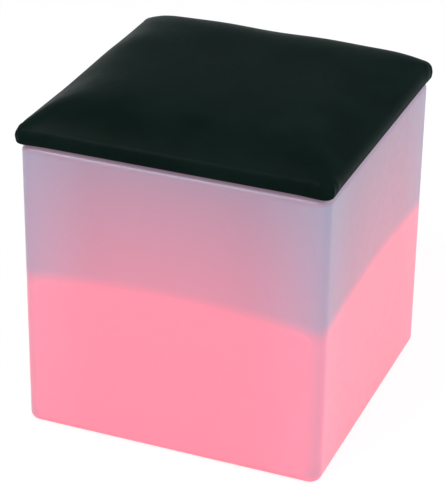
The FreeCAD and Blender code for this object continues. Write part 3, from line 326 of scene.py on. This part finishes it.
# The rounded edge, and the rings of the side and the hem: shares of the side's height, and distances
# in from the side
EDGE_RADIUS = 17 * MM
EDGE_RINGS = 7
EDGE_TURN = math.pi / 2 - CROWN_SLOPE
EDGE_START = EDGE_HEIGHT - EDGE_RADIUS * math.tan(EDGE_TURN / 2)
SIDE_SHARES = (0.75, 0.5, 0.25)
HEM_TURN_RINGS = 6
HEM_INSETS = (4 * MM, 7 * MM, 11 * MM, 16 * MM, 22 * MM, 28 * MM, HEM_WIDTH)


def level_point(half, radius, u, v):
    """The point of a rounded square outline that lies in the direction of u, v on a square of side 2."""
    longer = max(abs(u), abs(v))
    if longer == 0:
        return 0.0, 0.0
    share = min(abs(u), abs(v)) / longer
    straight = half - radius
    whole = straight + radius * math.pi / 4
    gone = share * whole
    if gone <= straight:
        far, near = half, gone
    else:
        angle = (gone - straight) / radius
        far = straight + radius * math.cos(angle)
        near = straight + radius * math.sin(angle)
    x, y = (far, near) if abs(u) >= abs(v) else (near, far)
    return math.copysign(x, u), math.copysign(y, v)


def towards_corners(column, row):
    """The direction of a grid point, with the columns closer together towards the corners."""
    u, v = 2 * column / GRID - 1, 2 * row / GRID - 1
    longer, shorter = max(abs(u), abs(v)), min(abs(u), abs(v))
    if longer == 0:
        return 0.0, 0.0
    shorter = longer * (1 - (1 - shorter / longer) ** CORNER_CROWDING)
    along_u, along_v = (longer, shorter) if abs(u) >= abs(v) else (shorter, longer)
    return math.copysign(along_u, u), math.copysign(along_v, v)


def top_ring(number):
    """How far in from the side a ring of the top lies, and its height over the seat's underside."""
    if number <= EDGE_RINGS:
        angle = EDGE_TURN * number / EDGE_RINGS
        return EDGE_RADIUS * (1 - math.cos(angle)), EDGE_START + EDGE_RADIUS * math.sin(angle)
    first = EDGE_RADIUS * (1 - math.cos(EDGE_TURN)) / SEAT_HALF
    inward = (number - EDGE_RINGS) / (GRID // 2 - EDGE_RINGS)
    inset = first + (1 - first) * inward ** RING_CROWDING
    return inset * SEAT_HALF, EDGE_HEIGHT + CROWN_RISE * (1 - (1 - inset) ** CROWN_FULLNESS)


def side_rings(hem):
    """The rings under the top, each an inset and a height above the seat's underside."""
    if not hem:
        return [(0.0, FOAM_UNDERSIDE)]
    rings = [(0.0, HEM_TURN + (EDGE_START - HEM_TURN) * share) for share in SIDE_SHARES]
    for number in range(HEM_TURN_RINGS):
        angle = number / (HEM_TURN_RINGS - 1) * math.pi / 2
        rings.append((HEM_TURN * (1 - math.cos(angle)), HEM_TURN * (1 - math.sin(angle))))
    return rings + [(inset, 0.0) for inset in HEM_INSETS]


def seat_form(name, shrink, hem):
    """A crowned cushion form with upright sides, drawn in by shrink all round. With a hem the cover
    is turned in under the board, else the form is closed by a flat underside."""
    half = SEAT_HALF - shrink
    radius = CORNER_RADIUS - shrink
    lowest = 0.0 if hem else FOAM_EDGE_FOOT
    points, faces = [], []

    def at(column, row):
        return column * (GRID + 1) + row

    for column in range(GRID + 1):
        for row in range(GRID + 1):
            u, v = towards_corners(column, row)
            ring = min(column, row, GRID - column, GRID - row)
            inset, height = top_ring(ring)
            ring_half = half - inset * half / SEAT_HALF
            ring_radius = min(radius + CORNER_GROWTH * inset, ring_half * ROUNDEST)
            points.append((*level_point(ring_half, ring_radius, u, v),
                           SEAT_UNDERSIDE + max(height - shrink, lowest)))
    for column in range(GRID):
        for row in range(GRID):
            faces.append((at(column, row), at(column + 1, row),
                          at(column + 1, row + 1), at(column, row + 1)))

    rim = [(column, 0) for column in range(GRID)] + [(GRID, row) for row in range(GRID)]
    rim += [(GRID - column, GRID) for column in range(GRID)] + [(0, GRID - row) for row in range(GRID)]
    above = [at(*step) for step in rim]
    for inset, height in side_rings(hem):
        below = []
        for column, row in rim:
            u, v = towards_corners(column, row)
            ring_radius = max(radius - inset, LEAST_RADIUS)
            points.append((*level_point(half - inset, ring_radius, u, v), SEAT_UNDERSIDE + height))
            below.append(len(points) - 1)
        for number, corner in enumerate(above):
            following = (number + 1) % len(above)
            faces.append((corner, below[number], below[following], above[following]))
        above = below
    if not hem:
        faces.append(tuple(reversed(above)))
    mesh = bpy.data.meshes.new(name)
    mesh.from_pydata(points, [], faces)
    mesh.update()
    made = bpy.data.objects.new(name, mesh)
    bpy.context.scene.collection.objects.link(made)
    for face in mesh.polygons:
        face.use_smooth = True
    return made


# The cover's swell. It is cloth under pressure, held along its side and hem, and it may move only
# this far from the form that it starts from.

SWELL_LIMIT = 3.5 * MM
SWELL_FRAMES = 20
SMOOTHING_ROUNDS = 6
HELD_BELOW = 9 * MM
FREE_ABOVE = 26 * MM
CLOTH = {"quality": 5, "mass": 0.3, "tension_stiffness": 15.0, "compression_stiffness": 15.0,
         "shear_stiffness": 5.0, "bending_stiffness": 20.0, "use_pressure": True,
         "uniform_pressure_force": 4.0, "vertex_group_mass": "held"}


def smooth_step(value, start, end):
    share = min(1.0, max(0.0, (value - start) / (end - start)))
    return share * share * (3 - 2 * share)


def evened(mesh, moves):
    """The moves of a mesh's points, each brought closer to those beside it."""
    beside = [[] for _ in moves]
    for edge in mesh.edges:
        first, second = edge.vertices
        beside[first].append(second)
        beside[second].append(first)
    for _ in range(SMOOTHING_ROUNDS):
        moves = [(move + sum((moves[other] for other in others), Vector())) / (len(others) + 1)
                 for move, others in zip(moves, beside)]
    return moves


def swell(cover):
    """Blows the cover up as cloth over its filling, then leaves the result in its mesh."""
    held = cover.vertex_groups.new(name="held")
    for vertex in cover.data.vertices:
        height = vertex.co.z - SEAT_UNDERSIDE
        held.add([vertex.index], 1 - smooth_step(height, HELD_BELOW, FREE_ABOVE), "REPLACE")
    cloth = cover.modifiers.new("cloth", "CLOTH")
    for name, setting in CLOTH.items():
        setattr(cloth.settings, name, setting)
    cloth.settings.effector_weights.gravity = 0.0
    cloth.collision_settings.use_collision = False
    for number in range(1, SWELL_FRAMES + 1):
        bpy.context.scene.frame_set(number)
    swollen = cover.evaluated_get(bpy.context.evaluated_depsgraph_get())
    moves = [new.co - old.co for new, old in zip(swollen.data.vertices, cover.data.vertices)]
    cover.modifiers.remove(cloth)
    bpy.context.scene.frame_set(1)
    moves = [move * (SWELL_LIMIT / (SWELL_LIMIT + move.length)) for move in moves]
    for vertex, move in zip(cover.data.vertices, evened(cover.data, moves)):
        vertex.co += move
    cover.vertex_groups.remove(held)


# What the padding and the tailoring leave in the cover: hollows and fuller places, each a place on
# the top, a reach and a height, and folds that run from the corners, where the cloth is gathered.

UNEVEN = (
    (-70 * MM, 150 * MM, 60 * MM, 3.0 * MM),
    (60 * MM, 155 * MM, 60 * MM, 3.0 * MM),
    (130 * MM, 60 * MM, 55 * MM, -1.8 * MM),
    (40 * MM, -110 * MM, 80 * MM, -1.0 * MM),
    (-165 * MM, 60 * MM, 40 * MM, 3.0 * MM),
    (-165 * MM, -60 * MM, 46 * MM, -2.6 * MM),
    (-150 * MM, -150 * MM, 30 * MM, 1.6 * MM),
)
FOLD_REACH = 34 * MM
FOLD_DEPTH = 1.1 * MM
FOLD_LIFT = 0.75
FOLDS = 7
FOLD_SHIFT = (1.3, 0.7)
TUCK_DROP = 1.6 * MM
TUCK_REACH = 20 * MM


def pull_about(piece):
    """Makes the cover or the foam uneven, as a stuffed and stapled seat is. The cloth gathered under
    each corner hangs a little lower than the hem between them."""
    for vertex in piece.data.vertices:
        x, y, z = vertex.co
        height = z - SEAT_UNDERSIDE
        lift = smooth_step(height, HELD_BELOW, FREE_ABOVE)
        for there_x, there_y, reach, rise in UNEVEN:
            gone = ((x - there_x) ** 2 + (y - there_y) ** 2) / reach ** 2
            vertex.co.z += lift * rise * math.exp(-gone)
        side = Vector((math.copysign(1.0, x), math.copysign(1.0, y), 0.0))
        corner = side * (SEAT_HALF - CORNER_RADIUS)
        away = Vector((x, y, 0.0)) - corner
        turn = math.atan2(away.y * side.y, away.x * side.x)
        above_hem = smooth_step(height, 0.0, HELD_BELOW)
        near = math.exp(-(away.length / FOLD_REACH) ** 2) * above_hem
        shift = side.x * FOLD_SHIFT[0] + side.y * FOLD_SHIFT[1]
        fold = FOLD_LIFT + math.sin(turn * FOLDS + shift)
        out = (away + side * FOLD_DEPTH).normalized()
        vertex.co += out * (fold * FOLD_DEPTH * near)
        gathered = math.exp(-(away.length / TUCK_REACH) ** 2) * (1 - above_hem)
        vertex.co.z -= TUCK_DROP * gathered


def seat_cushion():
    """The leatherette cover and the foam under it."""
    cover = seat_form("leatherette_cover", 0.0, True)
    swell(cover)
    pull_about(cover)
    smooth = cover.modifiers.new("rounding", "SUBSURF")
    smooth.levels = smooth.render_levels = 1
    thickness_and_edge_highlight = cover.modifiers.new("cloth_thickness", "SOLIDIFY")
    thickness_and_edge_highlight.thickness = SKIN
    thickness_and_edge_highlight.offset = -1.0
    cover.data.materials.append(leatherette())
    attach(cover, "padded_seat")
    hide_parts("seat_cover")

    pad = seat_form("foam_pad", FOAM_INSET, False)
    pull_about(pad)
    pad.data.materials.append(foam())
    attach(pad, "padded_seat")
    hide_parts("seat_foam")


# Finishes of the other pieces. Counts are per metre.


def foam():
    finish = Finish("cream_foam")
    cream = (0.72, 0.66, 0.5, 1.0)
    tone = finish.patchy(finish.cloudy(20))
    pores = finish.cells(900)
    return finish.surface(Base_Color=finish.tint(tone, shade(cream, 0.9), cream), Roughness=0.95,
                          Normal=finish.bumps(pores, 0.6 * MM))


def moulded(name, colour, roughness, grain=2500, depth=0.02 * MM, mottle=0.08):
    """Moulded plastic or rubber: an even tone with slight clouding and a fine mould grain."""
    finish = Finish(name)
    tone = finish.patchy(finish.cloudy(30))
    gloss = finish.patchy(finish.cloudy(210), roughness * 0.92, roughness * 1.08)
    return finish.surface(
        Base_Color=finish.tint(tone, shade(colour, 1 - mottle), shade(colour, 1 + mottle)),
        Roughness=gloss, Normal=finish.bumps(finish.cloudy(grain, 2.0), depth))


def metal(name, colour, roughness, scratches=(60, 60, 1500), depth=0.01 * MM):
    """Plated or turned metal, brushed along the direction where the scratches are long."""
    finish = Finish(name)
    stretch = finish.node("ShaderNodeVectorMath", {"operation": "MULTIPLY"},
                          {0: finish.place(), 1: scratches})
    lines = finish.cloudy(1.0, 3.0, 0.6, stretch)
    clouds = finish.patchy(finish.cloudy(220, 2.0))
    return finish.surface(
        Base_Color=finish.tint(clouds, shade(colour, 0.86), shade(colour, 1.05)), Metallic=1.0,
        Roughness=finish.patchy(lines, roughness * 0.8, roughness * 1.25),
        Normal=finish.bumps(lines, depth))


# Wood: how many fibres and how many figures of the grain there are along it and across it
FIBRES = (14, 260)
FIGURES = (5, 60)
PLY = 1.5 * MM


def timber(name, colour, ring_colour, edge_plies):
    """Sawn wood with its grain along the longer way of each piece, or plywood with plies at its edge."""
    finish = Finish(name)
    x, y, z = [finish.along(axis) for axis in range(3)]
    length, width = x, y
    if not edge_plies:
        upright = finish.maths("GREATER_THAN", abs(x), abs(y))
        length = y * upright + x * (1 - upright)
        width = x * upright + y * (1 - upright)

    def lines(counts):
        along, across = counts
        return finish.point(length * along, width * across, z * across)

    fibre = finish.cloudy(1.0, 4.0, 0.6, lines(FIBRES), 0.4)
    figure = finish.cloudy(1.0, 2.0, 0.5, lines(FIGURES), 1.2)
    grain = fibre * 0.45 + figure * 0.55
    wood = finish.tint(finish.ease(grain, 0.35, 0.65), ring_colour, colour)
    if edge_plies:
        ply = finish.maths("PINGPONG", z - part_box("seat_board")[0].z, PLY) / PLY
        at_edge = 1 - abs(finish.facing(2))
        wood = finish.tint(at_edge * finish.ease(ply, 0.35, 0.65), wood, shade(ring_colour, 0.6))
    return finish.surface(Base_Color=wood, Roughness=finish.patchy(fibre, 0.6, 0.75),
                          Normal=finish.bumps(fibre, 0.12 * MM))


TRACK = 1.6 * MM


def circuit_board():
    finish = Finish("green_circuit_board")
    mask = (0.02, 0.16, 0.07, 1.0)
    track = finish.maths("PINGPONG", finish.along(0) + finish.along(1), TRACK) / TRACK
    lanes = finish.maths("GREATER_THAN", finish.cloudy(120, 0.0), 0.5)
    raised = finish.ease(track, 0.4, 0.5) * lanes
    return finish.surface(Base_Color=finish.tint(raised, mask, shade(mask, 1.7)), Roughness=0.35,
                          Normal=finish.bumps(raised, 0.04 * MM))


def lamp_chip():
    finish = Finish("red_lit_chip")
    dome = finish.ease(finish.cells(600), 0.2, 0.8)
    return finish.surface(Base_Color=finish.tint(dome, (0.9, 0.7, 0.4, 1.0), (0.8, 0.5, 0.3, 1.0)),
                          Emission_Color=finish.dimmed((1.0, 0.15, 0.2), 0.8 + dome * 0.4),
                          Emission_Strength=2.0, Roughness=0.4)


def clear_window():
    finish = Finish("clear_window")
    haze = finish.patchy(finish.cloudy(50), 0.03, 0.08)
    return finish.surface(Base_Color=(0.95, 0.95, 0.95, 1.0), Roughness=haze, IOR=1.49,
                          Transmission_Weight=0.9)


def cell_sleeve():
    """Blue shrink sleeve over a round cell, with the bare can at its ends."""
    finish = Finish("blue_cell_sleeve")
    at_end = finish.maths("GREATER_THAN", abs(finish.facing(2)), 0.7)
    wrinkle = finish.cloudy(180, 3.0)
    return finish.surface(Base_Color=finish.tint(at_end, (0.02, 0.1, 0.38, 1.0), (0.6, 0.6, 0.6, 1.0)),
                          Metallic=at_end, Roughness=finish.patchy(wrinkle, 0.25, 0.4),
                          Normal=finish.bumps(wrinkle, 0.05 * MM))


def dress_nodes():
    """Gives every carried node its finish."""
    zinc = metal("zinc_plated_steel", (0.62, 0.63, 0.65), 0.32)
    brass = metal("turned_brass", (0.72, 0.53, 0.25), 0.28)
    rubber = moulded("black_rubber", (0.028, 0.028, 0.028), 0.75, grain=1600, depth=0.05 * MM)
    silicone = moulded("grey_silicone", (0.33, 0.33, 0.34), 0.6)
    housing = moulded("white_housing", (0.74, 0.74, 0.73), 0.5, 1400, 0.05 * MM, mottle=0.03)
    button = moulded("black_button", (0.05, 0.05, 0.055), 0.3)
    jack = moulded("black_jack", (0.02, 0.02, 0.02), 0.35)
    part = moulded("dark_component", (0.03, 0.03, 0.035), 0.55)
    mirror = moulded("white_reflector", (0.88, 0.88, 0.88), 0.2, mottle=0.02)
    lead = moulded("red_lead", (0.5, 0.03, 0.03), 0.45)
    sink = metal("cast_aluminium", (0.7, 0.71, 0.72), 0.45, (500, 500, 500), 0.03 * MM)
    plywood = timber("birch_plywood", (0.6, 0.44, 0.27, 1.0), (0.45, 0.31, 0.17, 1.0), True)
    pine = timber("planed_pine", (0.62, 0.45, 0.25, 1.0), (0.44, 0.27, 0.12, 1.0), False)
    finishes = {
        glowing_shell(): ["cube_shell"],
        rubber: ["rubber_feet", "vent_plug", "flange_gasket", "lid_gasket", "seat_bumpers"],
        silicone: ["inlet_cover", "button_seals", "lens_gasket"],
        zinc: ["foot_screws", "flange_screws", "lid_screws", "cover_pivot", "board_screws", "battery_screw",
               "led_board_screws", "ring_screws", "cover_staples", "batten_screws"],
        brass: ["flange_inserts", "inlet_pin", "inlet_nut"],
        housing: ["lamp_canister", "canister_lid", "lens_ring"],
        button: ["power_button", "mode_button"],
        jack: ["charge_jack"],
        part: ["power_plunger", "mode_plunger", "tact_switches", "board_components", "battery_holder",
               "battery_cover"],
        circuit_board(): ["control_board", "led_board"],
        cell_sleeve(): ["battery_cells"],
        lead: ["battery_leads", "led_leads"],
        sink: ["heat_sink"],
        lamp_chip(): ["led_chips"],
        mirror: ["reflector"],
        clear_window(): ["lens_window"],
        plywood: ["seat_board"],
        pine: ["locating_battens"],
    }
    for material, names in finishes.items():
        for name in names:
            mesh = NODES[name].data
            mesh.materials.clear()
            mesh.materials.append(material)


# The studio


def camera():
    back = Vector((math.sin(CAMERA_AZIMUTH) * math.cos(CAMERA_ELEVATION),
                   -math.cos(CAMERA_AZIMUTH) * math.cos(CAMERA_ELEVATION), math.sin(CAMERA_ELEVATION)))
    right = Vector((math.cos(CAMERA_AZIMUTH), math.sin(CAMERA_AZIMUTH), 0.0))
    up = back.cross(right)
    rolled_right = right * math.cos(CAMERA_ROLL) + up * math.sin(CAMERA_ROLL)
    rolled_up = up * math.cos(CAMERA_ROLL) - right * math.sin(CAMERA_ROLL)
    turn = Matrix((rolled_right, rolled_up, back)).transposed()
    data = bpy.data.cameras.new("camera")
    data.sensor_width = CAMERA_SENSOR
    data.lens = CAMERA_LENS
    made = bpy.data.objects.new("camera", data)
    made.matrix_world = Matrix.Translation(CAMERA_TARGET + back * CAMERA_DISTANCE) @ turn.to_4x4()
    bpy.context.scene.collection.objects.link(made)
    bpy.context.scene.camera = made


LAMP_AIM = Vector((0.0, 0.0, 0.25))


def lamp(name, place, size, power, colour, only_gloss=False):
    """A soft square lamp that points at the object. One that is only gloss shows in reflections alone."""
    data = bpy.data.lights.new(name, "AREA")
    data.shape = "SQUARE"
    data.size = size
    data.energy = power
    data.color = colour
    made = bpy.data.objects.new(name, data)
    made.location = place
    made.rotation_mode = "QUATERNION"
    made.rotation_quaternion = (LAMP_AIM - Vector(place)).to_track_quat("-Z", "Y")
    made.visible_diffuse = not only_gloss
    bpy.context.scene.collection.objects.link(made)


def background_seen(finish):
    """1 for rays that show the background: from the camera, in a reflection or through glass."""
    rays = [finish.node("ShaderNodeLightPath", output=name)
            for name in ("Is Camera Ray", "Is Glossy Ray", "Is Transmission Ray")]
    return finish.maths("MAXIMUM", finish.maths("MAXIMUM", rays[0], rays[1]), rays[2])


# Colours and strengths of the room. CEILING_FROM and CEILING_FULL are how far up a ray points, from 0
# for level to 1 for straight up. To rays that show the background, the floor is a white light for its
# share and paper for the rest.
AMBIENT = (0.38, 0.38, 0.39, 1.0)
DIM_CEILING = (0.35, 0.35, 0.35, 1.0)
CEILING_FROM, CEILING_FULL = 0.0, 0.3
FLOOR_PAPER = (0.77, 0.77, 0.77, 1.0)
FLOOR_LIGHT = 1.2
FLOOR_LIGHT_SHARE = 0.72
FLOOR_REACH = 6.0


def room():
    """A white room whose own light is softer than it looks, and a white floor that keeps a shadow.
    Reflections show its white walls up to their top, and the dimmer ceiling above them."""
    world = bpy.data.worlds.new("white_room")
    bpy.context.scene.world = world
    finish = Finish("white_room", world)
    height = finish.node("ShaderNodeSeparateXYZ",
                         sockets={0: finish.node("ShaderNodeTexCoord", output="Generated")}, output=2)
    mirrored = finish.tint(finish.ease(height, CEILING_FROM, CEILING_FULL), WHITE, DIM_CEILING)
    seen = finish.tint(finish.node("ShaderNodeLightPath", output="Is Glossy Ray"), WHITE, mirrored)
    colour = finish.tint(background_seen(finish), AMBIENT, seen)
    finish.finish_with(finish.node("ShaderNodeBackground", sockets={"Color": colour, "Strength": 1.0}))

    mesh = bpy.data.meshes.new("floor")
    corners = [(-1, -1), (1, -1), (1, 1), (-1, 1)]
    mesh.from_pydata([(x * FLOOR_REACH, y * FLOOR_REACH, 0) for x, y in corners], [], [(0, 1, 2, 3)])
    floor = bpy.data.objects.new("floor", mesh)
    bpy.context.scene.collection.objects.link(floor)
    finish = Finish("white_floor")
    paper = finish.node("ShaderNodeBsdfDiffuse", sockets={"Color": FLOOR_PAPER})
    light = finish.node("ShaderNodeEmission", sockets={"Color": WHITE, "Strength": FLOOR_LIGHT})
    share = background_seen(finish) * FLOOR_LIGHT_SHARE
    finish.finish_with(finish.node("ShaderNodeMixShader", sockets={0: share, 1: paper, 2: light}))
    mesh.materials.append(finish.holder)


def lights():
    lamp("key", (2.2, -0.4, 2.1), 1.6, 30.7, (0.88, 0.945, 1.0))
    lamp("front", (-0.8, -2.0, 2.7), 1.2, 44.5, (1.0, 0.97, 0.97))
    lamp("edge_glint", (-1.05, -0.95, 1.9), 0.7, 56.0, (1.0, 1.0, 1.0), only_gloss=True)


seat_cushion()
dress_nodes()
camera()
room()
lights()

bpy.context.scene.view_settings.view_transform = "Standard"
